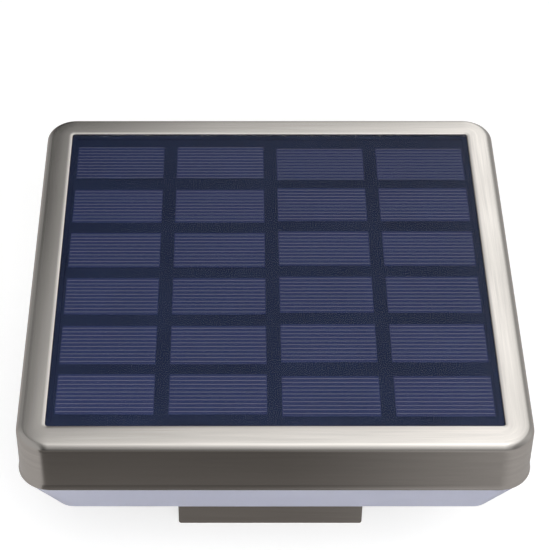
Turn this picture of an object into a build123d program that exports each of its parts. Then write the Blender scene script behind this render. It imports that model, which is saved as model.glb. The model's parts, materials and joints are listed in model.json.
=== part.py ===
from build123d import *
from math import atan2, cos, degrees, radians, sin
import os

# Solar light that drops over a square fence post.
# Millimetres. +Z is up, the origin is the centre of the sleeve's open bottom rim,
# and the front of the light faces -Y.

# --- driving sizes: the post and its sleeve ---
post_width = 60.0              # square fence post
post_clearance = 0.5           # each side of the post
sleeve_wall = 1.5
sleeve_top_wall = 2.5
sleeve_corner = 1.0
post_reach = 53.7              # open rim of the sleeve up to the bottom of the diffuser
fixing_hole_radius = 2.25      # clearance for 4 mm wood or sheet screws
fixing_hole_low = 14.0         # lowest fixing hole above the rim
fixing_hole_pitch = 24.0

# --- driving sizes: the steel head ---
head_width = 158.0
head_corner = 10.0
rim_width = 9.0                # flat steel between the head's side and the window
skirt_height = 19.4
edge_radius = 2.3
sheet = 0.8
window_corner = 1.0
window_slope = 1.25            # the steel dips towards the window over this width
window_dip = 0.2               # ... and by this much
bead_out = 0.4                 # how far the bead along the bottom edge stands out
flare_tilt = 25.0              # the side leans out by this angle where it meets the bead
skirt_return = 1.0             # flat steel that belongs to the skirt's section

# --- driving sizes: the solar panel ---
columns = 4
rows = 6
side_margin = 2.5
front_margin = 5.4
back_margin = 6.6
column_gap = 4.6
row_gap = 5.5
cell_thickness = 0.3
cell_scatter = 0.4             # how far the cells were laid off their true rows
clear_sheet = 0.8
sheet_drop = 0.3               # top of the clear sheet below the top of the steel
sheet_gap = 0.15               # clear sheet inside the window, each side
backing_flange = 3.0           # thickness of the backing where it reaches under the steel
panel_overlap = 2.0            # how far it reaches under the steel
panel_rim = 1.4                # raised edge of the backing
gasket_thickness = 0.9
gasket_width = 1.0
pad_thickness = 1.0
pad_size = 20.0
pad_inset = 4.0

# --- driving sizes: the frosted diffuser ---
diffuser_height = 19.1
diffuser_inset = 0.65          # widest part of the diffuser inside the head's side
diffuser_taper = 8.75          # how far each side leans in
diffuser_corner = 6.6
diffuser_top_corner = 8.0
diffuser_wall = 2.2
diffuser_floor = 2.0
diffuser_edge = 0.7
shoulder_drop = 0.2            # dark line between the bead and the diffuser
flange_rise = 1.4
flange_width = 2.2
seal_thickness = 0.8
seal_inset = 0.2               # seal inside the edges of the flange it lies on

# --- driving sizes: chassis, base plate, light box ---
bond_gap = 0.8                 # silicone between the skirt and the chassis
bond_height = 4.0
chassis_wall = 2.5
web_thickness = 2.5
boss_radius = 4.5
boss_merge = 1.0               # how far the corner bosses run into the base plate's raised wall
base_floor = 3.8
base_flange = 3.0
base_overlap = 6.0             # base plate under the diffuser, each side
base_gasket_thickness = 0.5
plug_wall = 2.0
plug_rise = 3.0
plug_corner = 6.0
base_edge = 0.6
base_gasket_inset = 1.0
seat_depth = 1.6               # recess that locates the top of the sleeve
sleeve_pad_thickness = 0.8
light_box_wall = 1.5
led_board_thickness = 1.6
led_size = 5.0
led_height = 1.5
leds_per_side = 3
led_spacing = 30.0
led_board_width = 14.9         # width of the ring
led_board_share = 0.3          # part of the spare room in the light box that lies inside the ring

# --- driving sizes: fasteners ---
base_screw_radius = 1.9
base_screw_length = 20.0
base_screw_head = 3.75
base_screw_head_height = 2.2
sleeve_screw_length = 10.0
sleeve_screw_inset = 12.0      # screw axis inside the sleeve's outer face
small_screw_radius = 1.3
small_screw_head = 2.6
small_screw_head_height = 1.4
small_boss_radius = 3.4
led_screw_length = 8.0
board_screw_length = 5.0
holder_screw_length = 4.2
drive_depth = 1.0              # hexagon recess in every screw head
pilot_spare = 1.0              # pilot holes run this far past the screw's end
boss_cap = 1.0                 # solid top of the sleeve screws' bosses

# --- driving sizes: battery and controller ---
battery_diameter = 18.4
battery_length = 65.0
battery_nub = 1.5
battery_nub_radius = 3.5
battery_cap_thickness = 0.5
battery_y = 19.0
holder_wall = 1.5
holder_crown = 2.0
channel_room = 0.2             # round the battery in its channel
contact_thickness = 0.4
contact_width = 6.0
contact_space = 2.0            # between the battery's end and the holder's end wall
contact_rise = 5.0             # top of a contact above the battery's axis
contact_tab_rise = 2.0
bump_half = 3.0
bump_flat = 0.5
board_length = 56.0
board_depth = 26.0
board_thickness = 1.6
board_standoff = 3.4
board_hole_inset = 3.5
lead_gap = 10.0                # between the holder and the board, for the panel leads
terminal_size = 6.0
terminal_height = 4.0
chip_size = 7.0
chip_height = 1.2
coil_radius = 4.0
coil_height = 4.2
capacitor_radius = 3.0
capacitor_height = 7.0
lead_radius = 0.65
lead_spacing = 3.0
lead_bend = 2.4
lead_hole_margin = 5.0         # room round the panel's leads where they pass the web
lead_end = 6.0                 # straight run of a lead before it meets its joint
lead_rise = 3.5                # how far the board's leads rise before they run inwards

# --- driving sizes: power switch ---
bezel_radius = 6.5
bezel_thickness = 2.0
bezel_gap = 1.0                # between the bezel and the sleeve
washer_thickness = 0.8
barrel_radius = 5.0
barrel_height = 16.5
button_radius = 3.4
button_travel = 1.5
button_edge = 0.5
collar_width = 0.7
collar_height = 1.2
mouth_depth = 4.0
spring_room = 6.4
spring_wire = 0.5
spring_turns = 4
nut_flats = 12.0
nut_thickness = 2.5
nut_gap = 1.0                  # between the nut and the base plate's raised wall
lug_height = 4.0
lug_width = 2.0
lug_thickness = 0.6
lug_spacing = 4.0

# --- clearances ---
fit = 0.3                      # loose fit between moulded pieces
slip = 0.1                     # pieces laid together
running = 0.05                 # button in its bore, screws in their pilots

# --- heights ---
z_diffuser = post_reach
z_hem = z_diffuser + diffuser_height
z_top = z_hem + skirt_height
z_sheet = z_top - sheet
z_panel = z_sheet - gasket_thickness
z_clear = z_top - sheet_drop - clear_sheet
z_cells = z_clear - slip - cell_thickness
z_backing = z_panel - backing_flange
z_pocket = z_backing - pad_thickness
z_web = z_pocket - web_thickness
z_shoulder = z_hem - shoulder_drop
z_flange = z_hem + flange_rise
z_chassis = z_flange + seal_thickness
z_led_board = z_flange - fit
z_light_box = z_led_board - light_box_wall
z_base_flange = z_diffuser - base_gasket_thickness
z_under = z_base_flange - base_flange
z_seat = z_under + seat_depth
z_sleeve = z_seat - sleeve_pad_thickness
z_floor = z_under + base_floor
z_inside = z_diffuser + diffuser_floor
z_plug = z_inside + plug_rise

# --- half-widths of the square pieces, from the middle outwards ---
sleeve_half = post_width / 2 + post_clearance + sleeve_wall
socket_half = sleeve_half - sleeve_wall
seat_half = sleeve_half + fit
switch_y = -(sleeve_half + bezel_gap + bezel_radius)
nut_radius = nut_flats / 2 / cos(radians(30))
plug_inner_half = nut_radius - switch_y + nut_gap
plug_half = plug_inner_half + plug_wall
opening_half = plug_half + fit
base_half = opening_half + base_overlap
light_wall_half = opening_half + light_box_wall
head_half = head_width / 2
window_half = head_half - rim_width
panel_half = window_half + panel_overlap
clear_half = window_half - sheet_gap
chassis_half = head_half - sheet - bond_gap
chassis_corner = head_corner - sheet - bond_gap
shoulder_half = head_half - diffuser_inset
diffuser_half = shoulder_half - diffuser_taper
flange_inner_half = chassis_half - flange_width
light_box_half = flange_inner_half - 2 * fit
led_spare = light_box_half - light_wall_half - led_board_width
led_inner_half = light_wall_half + led_board_share * led_spare
led_outer_half = led_inner_half + led_board_width
led_line = (led_inner_half + led_outer_half) / 2

# --- places of fasteners and inner pieces ---
base_screw_at = plug_inner_half - boss_radius + boss_merge
sleeve_screw_at = sleeve_half - sleeve_screw_inset
battery_radius = battery_diameter / 2
channel_radius = battery_radius + channel_room
z_battery = z_web - holder_crown - channel_radius
holder_half_length = battery_length / 2 + contact_space + holder_wall
holder_half_depth = channel_radius + holder_wall
z_holder = z_battery - battery_radius / 2
z_board_top = z_web - board_standoff
z_board = z_board_top - board_thickness
board_back = battery_y - holder_half_depth - lead_gap
board_y = board_back - board_depth / 2
board_half = board_length / 2
z_lead = z_board - terminal_height / 2
holder_screws_at = [(side * battery_length / 4, battery_y) for side in (-1, 1)]
cell_length = (2 * window_half - 2 * side_margin - (columns - 1) * column_gap) / columns
cell_width = (2 * window_half - front_margin - back_margin - (rows - 1) * row_gap) / rows

# Vertical section of the square pieces: x is the distance in front of the middle, y the height.
front_section = Plane(origin=(0, 0, 0), x_dir=(0, -1, 0), z_dir=(-1, 0, 0))


def corners(distance):
    """The four places at +/- distance along X and Y."""
    return [(x, y) for x in (-distance, distance) for y in (-distance, distance)]


def facing_down(places, height):
    """Locations on an underside, for holes that are sunk upwards."""
    return [Location((x, y, height), (180, 0, 0)) for x, y in places]


def square(half, corner, mode=Mode.ADD):
    """A square with round corners in the open sketch."""
    return RectangleRounded(2 * half, 2 * half, corner, mode=mode)


def countersunk_screw(radius, head, head_height, length):
    """A screw whose flat head face is at the origin and whose shank points up."""
    with BuildPart() as screw:
        with BuildSketch(Plane.XZ):
            with BuildLine():
                Polyline((0, 0), (head, 0), (radius, head_height), (radius, length - radius),
                         (radius / 2, length), (0, length), close=True)
            make_face()
        revolve(axis=Axis.Z)
        with BuildSketch():
            RegularPolygon(radius * 0.8, 6)
        extrude(amount=drive_depth, mode=Mode.SUBTRACT)
    return screw.part


def pan_head_screw(radius, head, head_height, length):
    """A screw whose head hangs below the origin and whose shank points up."""
    with BuildPart() as screw:
        with BuildSketch(Plane.XZ):
            with BuildLine():
                Polyline((0, -head_height), (head * 0.8, -head_height), (head, -head_height * 0.6), (head, 0),
                         (radius, 0), (radius, length - radius), (radius / 2, length), (0, length),
                         close=True)
            make_face()
        revolve(axis=Axis.Z)
        with BuildSketch(Plane.XY.offset(-head_height)):
            RegularPolygon(radius * 0.8, 6)
        extrude(amount=drive_depth, mode=Mode.SUBTRACT)
    return screw.part


def save(part, name):
    """Label a finished piece and write it to its own file."""
    part.label = name
    export_step(part, f"parts/{name}.step")


os.makedirs("parts", exist_ok=True)

# ---------------------------------------------------------------- steel head
bead_radius = (sheet + bead_out) / 2
z_bead = z_hem + bead_radius
inner_skin = head_half - sheet
bead_centre = inner_skin + bead_radius
bead_top = (bead_centre + bead_radius * cos(radians(flare_tilt)),
            z_bead + bead_radius * sin(radians(flare_tilt)))
flare_radius = (bead_top[0] - head_half) / (1 - cos(radians(flare_tilt)))
z_flare = bead_top[1] + flare_radius * sin(radians(flare_tilt))
inner_edge_radius = edge_radius - sheet
rim_start = head_half - edge_radius - skirt_return
rim_corner = head_corner - edge_radius - skirt_return

# The skirt is one sheet section carried round the head: bead, flare, side and round top edge.
# A quarter of it is one straight side and one corner.
side_half = head_half - head_corner
with BuildPart() as skirt_quarter:
    with BuildSketch(front_section) as skirt_section:
        with BuildLine():
            Line((inner_skin, z_bead), (inner_skin, z_sheet - inner_edge_radius))
            RadiusArc((inner_skin, z_sheet - inner_edge_radius), (inner_skin - inner_edge_radius, z_sheet),
                      -inner_edge_radius)
            Polyline((inner_skin - inner_edge_radius, z_sheet), (rim_start, z_sheet), (rim_start, z_top),
                     (head_half - edge_radius, z_top))
            RadiusArc((head_half - edge_radius, z_top), (head_half, z_top - edge_radius), edge_radius)
            Line((head_half, z_top - edge_radius), (head_half, z_flare))
            RadiusArc((head_half, z_flare), bead_top, -flare_radius)
            ThreePointArc(bead_top, (bead_centre + bead_radius, z_bead), (bead_centre, z_hem))
            RadiusArc((bead_centre, z_hem), (inner_skin, z_bead), bead_radius)
        make_face()
    extrude(amount=side_half, both=True)
    revolve(profiles=Pos(side_half, 0, 0) * skirt_section.sketch,
            axis=Axis((side_half, -side_half, 0), (0, 0, 1)), revolution_arc=90)

with BuildPart() as top_cover:
    with PolarLocations(0, 4):
        add(skirt_quarter.part)
    with BuildSketch(Plane.XY.offset(z_sheet)):
        square(rim_start, rim_corner)
        square(window_half, window_corner, mode=Mode.SUBTRACT)
    extrude(amount=sheet)
    with BuildSketch(Plane.XY.offset(z_panel + slip)):
        square(window_half + sheet, window_corner + sheet)
        square(window_half, window_corner, mode=Mode.SUBTRACT)
    extrude(amount=z_top - z_panel - slip)
    flat_rim = top_cover.faces().filter_by(Axis.Z).sort_by(Axis.Z)[-1]
    chamfer(flat_rim.inner_wires()[0].edges(), window_slope, window_dip, reference=flat_rim)
save(top_cover.part, "top_cover")

# Rubber frame pressed between the steel and the backing, just outside the folded window edge.
with BuildPart() as panel_gasket:
    with BuildSketch(Plane.XY.offset(z_panel)):
        square(panel_half, window_corner + panel_overlap)
        square(panel_half - gasket_width, window_corner + panel_overlap - gasket_width, mode=Mode.SUBTRACT)
    extrude(amount=gasket_thickness)
save(panel_gasket.part, "panel_gasket")

# ---------------------------------------------------------------- solar panel
with BuildPart() as panel_cover:
    with BuildSketch(Plane.XY.offset(z_clear)):
        square(clear_half, window_corner - sheet_gap)
    extrude(amount=clear_sheet)
save(panel_cover.part, "panel_cover")

# The backing has a flange under the steel and a step that lifts the cells into the window.
with BuildPart() as panel_backing:
    with BuildSketch(Plane.XY.offset(z_backing)):
        square(panel_half, window_corner + panel_overlap)
    extrude(amount=backing_flange)
    with BuildSketch(Plane.XY.offset(z_panel)):
        square(clear_half, window_corner - sheet_gap)
    extrude(amount=z_clear - z_panel)
    with BuildSketch(Plane.XY.offset(z_cells)):
        square(clear_half - panel_rim, window_corner)
    extrude(amount=z_clear - z_cells, mode=Mode.SUBTRACT)
save(panel_backing.part, "panel_backing")

# The cells were laid by hand: the left and right halves are spread a little differently along Y.
cell_places = []
for column in range(columns):
    for row in range(rows):
        x = -window_half + side_margin + cell_length / 2 + column * (cell_length + column_gap)
        y = -window_half + front_margin + cell_width / 2 + row * (cell_width + row_gap)
        shift = cell_scatter if column >= columns / 2 else -cell_scatter
        if row == 0 or row == rows - 1:
            shift = -shift
        cell_places.append((x, y + shift))

with BuildPart() as solar_cells:
    with BuildSketch(Plane.XY.offset(z_cells)):
        with Locations(*cell_places):
            Rectangle(cell_length, cell_width)
    extrude(amount=cell_thickness)
save(solar_cells.part, "solar_cells")

# Foam pads that press the panel up against its gasket.
pad_at = panel_half - pad_size / 2 - pad_inset
with BuildPart() as panel_pads:
    with BuildSketch(Plane.XY.offset(z_pocket)):
        with Locations(*corners(pad_at)):
            Rectangle(pad_size, pad_size)
    extrude(amount=pad_thickness)
save(panel_pads.part, "panel_pads")

# ---------------------------------------------------------------- chassis
panel_lead_y = board_back + lead_gap / 2
panel_lead_x = -board_half + terminal_size + lead_spacing
with BuildPart() as chassis:
    with BuildSketch(Plane.XY.offset(z_chassis)):
        square(chassis_half, chassis_corner)
    extrude(amount=z_sheet - slip - z_chassis)
    chamfer(chassis.faces().sort_by(Axis.Z)[-1].edges(), inner_edge_radius)
    with BuildSketch(Plane.XY.offset(z_pocket)):
        square(panel_half + fit, window_corner + panel_overlap + fit)
    extrude(amount=z_sheet - z_pocket, mode=Mode.SUBTRACT)
    with BuildSketch(Plane.XY.offset(z_chassis)):
        square(chassis_half - chassis_wall, chassis_corner - chassis_wall)
    extrude(amount=z_web - z_chassis, mode=Mode.SUBTRACT)
    # Bosses hang from the web: four long ones for the base plate, four for the light board,
    # two short ones for the controller.
    with BuildSketch(Plane.XY.offset(z_plug)):
        with Locations(*corners(base_screw_at)):
            Circle(boss_radius)
    extrude(amount=z_web - z_plug)
    with BuildSketch(Plane.XY.offset(z_led_board + led_board_thickness)):
        with Locations(*corners(led_line)):
            Circle(small_boss_radius)
    extrude(amount=z_web - z_led_board - led_board_thickness)
    board_screw_x = board_half - board_hole_inset
    board_screw_y = board_depth / 2 - board_hole_inset
    board_screws_at = [(-board_screw_x, board_y - board_screw_y), (board_screw_x, board_y + board_screw_y)]
    with BuildSketch(Plane.XY.offset(z_board_top)):
        with Locations(*board_screws_at):
            Circle(small_boss_radius)
    extrude(amount=board_standoff)
    # Pilot holes for the screws, and the way through for the panel's leads.
    with BuildSketch(Plane.XY.offset(z_plug)):
        with Locations(*corners(base_screw_at)):
            Circle(base_screw_radius + running)
    extrude(amount=z_under + base_screw_length + pilot_spare - z_plug, mode=Mode.SUBTRACT)
    with BuildSketch(Plane.XY.offset(z_led_board + led_board_thickness)):
        with Locations(*corners(led_line)):
            Circle(small_screw_radius + running)
    extrude(amount=led_screw_length - led_board_thickness - light_box_wall + pilot_spare, mode=Mode.SUBTRACT)
    with BuildSketch(Plane.XY.offset(z_board_top)):
        with Locations(*board_screws_at):
            Circle(small_screw_radius + running)
    extrude(amount=board_screw_length - board_thickness + slip, mode=Mode.SUBTRACT)
    with BuildSketch(Plane.XY.offset(z_web)):
        with Locations(*holder_screws_at):
            Circle(small_screw_radius + running)
        with Locations((panel_lead_x, panel_lead_y)):
            Rectangle(lead_spacing + lead_hole_margin, lead_hole_margin)
    extrude(amount=web_thickness, mode=Mode.SUBTRACT)
save(chassis.part, "chassis")

# Silicone bead between the skirt and the chassis.
with BuildPart() as cover_bond:
    with BuildSketch(Plane.XY.offset(z_pocket - bond_height)):
        square(inner_skin, head_corner - sheet)
        square(chassis_half, chassis_corner, mode=Mode.SUBTRACT)
    extrude(amount=bond_height)
save(cover_bond.part, "cover_bond")

# ---------------------------------------------------------------- diffuser
lean = diffuser_taper / (z_shoulder - z_diffuser)
with BuildPart() as diffuser:
    with BuildSketch(Plane.XY.offset(z_diffuser)):
        square(diffuser_half, diffuser_corner)
    with BuildSketch(Plane.XY.offset(z_shoulder)):
        square(shoulder_half, diffuser_top_corner)
    loft(ruled=True)
    fillet(diffuser.faces().sort_by(Axis.Z)[0].edges(), diffuser_edge)
    with BuildSketch(Plane.XY.offset(z_shoulder)):
        square(chassis_half, chassis_corner)
    extrude(amount=z_flange - z_shoulder)
    with BuildSketch(Plane.XY.offset(z_inside)):
        square(diffuser_half + lean * diffuser_floor - diffuser_wall, diffuser_corner)
    with BuildSketch(Plane.XY.offset(z_shoulder)):
        square(flange_inner_half, diffuser_top_corner)
    loft(ruled=True, mode=Mode.SUBTRACT)
    with BuildSketch(Plane.XY.offset(z_shoulder)):
        square(flange_inner_half, diffuser_top_corner)
    extrude(amount=z_flange - z_shoulder, mode=Mode.SUBTRACT)
    with BuildSketch(Plane.XY.offset(z_diffuser)):
        square(opening_half, plug_corner + fit)
    extrude(amount=diffuser_floor, mode=Mode.SUBTRACT)
save(diffuser.part, "diffuser")

with BuildPart() as diffuser_seal:
    with BuildSketch(Plane.XY.offset(z_flange)):
        square(chassis_half - seal_inset, chassis_corner - seal_inset)
        square(flange_inner_half + seal_inset, chassis_corner - flange_width + seal_inset, mode=Mode.SUBTRACT)
    extrude(amount=seal_thickness)
save(diffuser_seal.part, "diffuser_seal")

# ---------------------------------------------------------------- base plate
sink_angle = 2 * degrees(atan2(base_screw_head - base_screw_radius, base_screw_head_height))
sleeve_boss_height = sleeve_screw_length - sleeve_top_wall - sleeve_pad_thickness + slip + boss_cap
with BuildPart() as base_plate:
    with BuildSketch(Plane.XY.offset(z_under)):
        square(base_half, plug_corner + base_overlap)
    extrude(amount=base_flange)
    fillet(base_plate.faces().sort_by(Axis.Z)[0].edges(), base_edge)
    with BuildSketch(Plane.XY.offset(z_base_flange)):
        square(plug_half, plug_corner)
    extrude(amount=z_plug - z_base_flange)
    with BuildSketch(Plane.XY.offset(z_floor)):
        square(plug_inner_half, plug_corner - plug_wall)
    extrude(amount=z_plug - z_floor, mode=Mode.SUBTRACT)
    with BuildSketch(Plane.XY.offset(z_floor)):
        with Locations(*corners(base_screw_at)):
            Circle(boss_radius)
    extrude(amount=z_plug - z_floor)
    with BuildSketch(Plane.XY.offset(z_seat)):
        with Locations(*corners(sleeve_screw_at)):
            Circle(boss_radius)
    extrude(amount=sleeve_boss_height)
    # Recess for the top of the sleeve, screw holes and the hole for the switch.
    with BuildSketch(Plane.XY.offset(z_under)):
        square(seat_half, sleeve_corner + fit)
    extrude(amount=seat_depth, mode=Mode.SUBTRACT)
    with BuildSketch(Plane.XY.offset(z_seat)):
        with Locations(*corners(sleeve_screw_at)):
            Circle(base_screw_radius + running)
    extrude(amount=sleeve_boss_height - boss_cap, mode=Mode.SUBTRACT)
    with Locations(*facing_down(corners(base_screw_at), z_under)):
        CounterSinkHole(base_screw_radius + slip, base_screw_head + slip, z_plug - z_under, sink_angle)
    with BuildSketch(Plane.XY.offset(z_under)):
        with Locations((0, switch_y)):
            Circle(barrel_radius + slip)
    extrude(amount=base_floor, mode=Mode.SUBTRACT)
save(base_plate.part, "base_plate")

with BuildPart() as base_gasket:
    with BuildSketch(Plane.XY.offset(z_base_flange)):
        square(base_half - base_gasket_inset, plug_corner + base_overlap - base_gasket_inset)
        square(opening_half, plug_corner + fit, mode=Mode.SUBTRACT)
    extrude(amount=base_gasket_thickness)
save(base_gasket.part, "base_gasket")

base_screw = countersunk_screw(base_screw_radius, base_screw_head, base_screw_head_height, base_screw_length)
with BuildPart() as base_screws:
    with Locations(*[(x, y, z_under) for x, y in corners(base_screw_at)]):
        add(base_screw)
save(base_screws.part, "base_screws")

# ---------------------------------------------------------------- sleeve
with BuildPart() as post_sleeve:
    with BuildSketch():
        square(sleeve_half, sleeve_corner)
    extrude(amount=z_sleeve)
    with BuildSketch():
        Rectangle(2 * socket_half, 2 * socket_half)
    extrude(amount=z_sleeve - sleeve_top_wall, mode=Mode.SUBTRACT)
    with Locations(*facing_down(corners(sleeve_screw_at), z_sleeve - sleeve_top_wall)):
        CounterSinkHole(base_screw_radius + slip, base_screw_head + slip, sleeve_top_wall, sink_angle)
    with BuildSketch(Plane.YZ):
        with Locations((0, fixing_hole_low), (0, fixing_hole_low + fixing_hole_pitch)):
            Circle(fixing_hole_radius)
    extrude(amount=sleeve_half, both=True, mode=Mode.SUBTRACT)
save(post_sleeve.part, "post_sleeve")

with BuildPart() as sleeve_pad:
    with BuildSketch(Plane.XY.offset(z_sleeve)):
        square(sleeve_half - sleeve_corner, sleeve_corner)
        with Locations(*corners(sleeve_screw_at)):
            Circle(base_screw_radius + slip, mode=Mode.SUBTRACT)
    extrude(amount=sleeve_pad_thickness)
save(sleeve_pad.part, "sleeve_pad")

sleeve_screw = countersunk_screw(base_screw_radius, base_screw_head, base_screw_head_height,
                                 sleeve_screw_length)
with BuildPart() as sleeve_screws:
    with Locations(*[(x, y, z_sleeve - sleeve_top_wall) for x, y in corners(sleeve_screw_at)]):
        add(sleeve_screw)
save(sleeve_screws.part, "sleeve_screws")

# ---------------------------------------------------------------- light box, board and diodes
led_offsets = [(i - (leds_per_side - 1) / 2) * led_spacing for i in range(leds_per_side)]
led_places = [(offset, side * led_line) for offset in led_offsets for side in (-1, 1)]
led_places += [(side * led_line, offset) for offset in led_offsets for side in (-1, 1)]

with BuildPart() as light_box:
    with BuildSketch(Plane.XY.offset(z_light_box)):
        square(light_box_half, diffuser_corner)
        square(opening_half, plug_corner, mode=Mode.SUBTRACT)
        with Locations(*corners(led_line)):
            Circle(small_screw_radius + slip, mode=Mode.SUBTRACT)
        with Locations(*led_places):
            Rectangle(led_size + 2 * slip, led_size + 2 * slip, mode=Mode.SUBTRACT)
    extrude(amount=light_box_wall)
    with BuildSketch(Plane.XY.offset(z_inside)):
        square(light_wall_half, plug_corner + light_box_wall)
        square(opening_half, plug_corner, mode=Mode.SUBTRACT)
    extrude(amount=z_light_box - z_inside)
save(light_box.part, "light_box")

with BuildPart() as led_board:
    with BuildSketch(Plane.XY.offset(z_led_board)):
        Rectangle(2 * led_outer_half, 2 * led_outer_half)
        Rectangle(2 * led_inner_half, 2 * led_inner_half, mode=Mode.SUBTRACT)
        with Locations(*corners(led_line)):
            Circle(small_screw_radius + slip, mode=Mode.SUBTRACT)
    extrude(amount=led_board_thickness)
save(led_board.part, "led_board")

with BuildPart() as leds:
    with BuildSketch(Plane.XY.offset(z_led_board - led_height)):
        with Locations(*led_places):
            Rectangle(led_size, led_size)
    extrude(amount=led_height)
save(leds.part, "leds")

led_screw = pan_head_screw(small_screw_radius, small_screw_head, small_screw_head_height, led_screw_length)
with BuildPart() as led_screws:
    with Locations(*[(x, y, z_light_box) for x, y in corners(led_line)]):
        add(led_screw)
save(led_screws.part, "led_screws")

# ---------------------------------------------------------------- controller
with BuildPart() as controller_board:
    with BuildSketch(Plane.XY.offset(z_board)):
        with Locations((0, board_y)):
            Rectangle(board_length, board_depth)
        with Locations(*board_screws_at):
            Circle(small_screw_radius + slip, mode=Mode.SUBTRACT)
    extrude(amount=board_thickness)
save(controller_board.part, "controller_board")

board_screw = pan_head_screw(small_screw_radius, small_screw_head, small_screw_head_height,
                             board_screw_length)
with BuildPart() as controller_screws:
    with Locations(*[(x, y, z_board) for x, y in board_screws_at]):
        add(board_screw)
save(controller_screws.part, "controller_screws")

with BuildPart() as controller_chip:
    with BuildSketch(Plane.XY.offset(z_board - chip_height)):
        with Locations((chip_size, board_y)):
            Rectangle(chip_size, chip_size)
    extrude(amount=chip_height)
    chamfer(controller_chip.faces().sort_by(Axis.Z)[0].edges(), chip_height / 4)
save(controller_chip.part, "controller_chip")

with BuildPart() as controller_coil:
    with BuildSketch(Plane.XY.offset(z_board - coil_height)):
        with Locations((-coil_radius, board_y)):
            Circle(coil_radius)
            Circle(coil_radius / 3, mode=Mode.SUBTRACT)
    extrude(amount=coil_height)
save(controller_coil.part, "controller_coil")

with BuildPart() as controller_capacitor:
    with BuildSketch(Plane.XY.offset(z_board - capacitor_height)):
        with Locations((-3 * coil_radius - capacitor_radius, board_y)):
            Circle(capacitor_radius)
    extrude(amount=capacitor_height)
    fillet(controller_capacitor.faces().sort_by(Axis.Z)[0].edges(), capacitor_radius / 8)
save(controller_capacitor.part, "controller_capacitor")

# One terminal block for each pair of leads, or for a single battery lead, at the board's edges.
edge_in = terminal_size / 2
panel_terminal = (panel_lead_x, board_back - edge_in)
plus_terminal = (board_half - edge_in, board_back - 2 * terminal_size)
minus_terminal = (edge_in - board_half, board_back - 2 * terminal_size)
led_terminal = (board_half - edge_in, board_back - board_depth + edge_in)
switch_terminal = (0, board_back - board_depth + edge_in)
with BuildPart() as board_terminals:
    with BuildSketch(Plane.XY.offset(z_board - terminal_height)):
        with Locations(panel_terminal, plus_terminal, minus_terminal, led_terminal, switch_terminal):
            Rectangle(terminal_size, terminal_size)
    extrude(amount=terminal_height)
save(board_terminals.part, "board_terminals")

# ---------------------------------------------------------------- battery
battery_half = battery_length / 2
with BuildPart() as battery:
    with BuildSketch(Plane.YZ.offset(-battery_half)):
        with Locations((battery_y, z_battery)):
            Circle(battery_radius)
    extrude(amount=battery_length - battery_nub)
    fillet(battery.edges(), battery_nub / 2)
    with BuildSketch(Plane.YZ.offset(battery_half - battery_nub)):
        with Locations((battery_y, z_battery)):
            Circle(battery_nub_radius)
    extrude(amount=battery_nub)
save(battery.part, "battery")

with BuildPart() as battery_cap:
    with BuildSketch(Plane.YZ.offset(battery_half - battery_nub)):
        with Locations((battery_y, z_battery)):
            Circle(battery_radius - battery_nub / 2)
            Circle(battery_nub_radius + slip, mode=Mode.SUBTRACT)
    extrude(amount=battery_cap_thickness)
save(battery_cap.part, "battery_cap")

# The cradle hangs under the chassis web and holds the cell by a little over half of its girth.
channel_half = holder_half_length - holder_wall
with BuildPart() as battery_holder:
    with BuildSketch(Plane.XY.offset(z_holder)):
        with Locations((0, battery_y)):
            Rectangle(2 * holder_half_length, 2 * holder_half_depth)
    extrude(amount=z_web - z_holder)
    with BuildSketch(Plane.YZ):
        with Locations((battery_y, z_battery)):
            Circle(channel_radius)
    extrude(amount=channel_half, both=True, mode=Mode.SUBTRACT)
    with BuildSketch(Plane.XY.offset(z_battery)):
        with Locations(*holder_screws_at):
            Circle(small_screw_head + slip)
    extrude(amount=channel_radius, mode=Mode.SUBTRACT)
    with Locations(*facing_down(holder_screws_at, z_web - holder_crown)):
        CounterSinkHole(small_screw_radius + slip, small_screw_head + slip, holder_crown, 90)
save(battery_holder.part, "battery_holder")

holder_screw = countersunk_screw(small_screw_radius, small_screw_head, small_screw_head - small_screw_radius,
                                 holder_screw_length)
with BuildPart() as holder_screws:
    with Locations(*[(x, y, z_web - holder_crown) for x, y in holder_screws_at]):
        add(holder_screw)
save(holder_screws.part, "holder_screws")

# Each contact is a strip hooked under the cradle's end wall, with a sprung bump against the cell.
contact_top = z_battery + contact_rise
contact_tab = z_battery + contact_tab_rise
outer_face = holder_half_length + contact_thickness
with BuildPart() as contact_positive:
    with BuildSketch(Plane.XZ.offset(-battery_y)):
        with BuildLine():
            Polyline((channel_half, contact_top),
                     (channel_half - contact_thickness, contact_top),
                     (channel_half - contact_thickness, z_battery + bump_half),
                     (battery_half, z_battery + bump_flat),
                     (battery_half, z_battery - bump_flat),
                     (channel_half - contact_thickness, z_battery - bump_half),
                     (channel_half - contact_thickness, z_holder - contact_thickness),
                     (outer_face, z_holder - contact_thickness),
                     (outer_face, contact_tab),
                     (holder_half_length, contact_tab),
                     (holder_half_length, z_holder),
                     (channel_half, z_holder),
                     (channel_half, z_battery - bump_half),
                     (battery_half + contact_thickness, z_battery - bump_flat),
                     (battery_half + contact_thickness, z_battery + bump_flat),
                     (channel_half, z_battery + bump_half), close=True)
        make_face()
    extrude(amount=contact_width / 2, both=True)
save(contact_positive.part, "contact_positive")

with BuildPart() as contact_negative:
    add(contact_positive.part)
    mirror(about=Plane.YZ, mode=Mode.REPLACE)
save(contact_negative.part, "contact_negative")

# ---------------------------------------------------------------- power switch
z_washer = z_under - washer_thickness
z_bezel = z_washer - bezel_thickness
z_mouth = z_bezel + mouth_depth
z_collar = z_mouth + collar_height
z_spring_seat = z_collar + spring_room
z_barrel = z_washer + barrel_height
z_button = z_bezel - button_travel - slip

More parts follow.
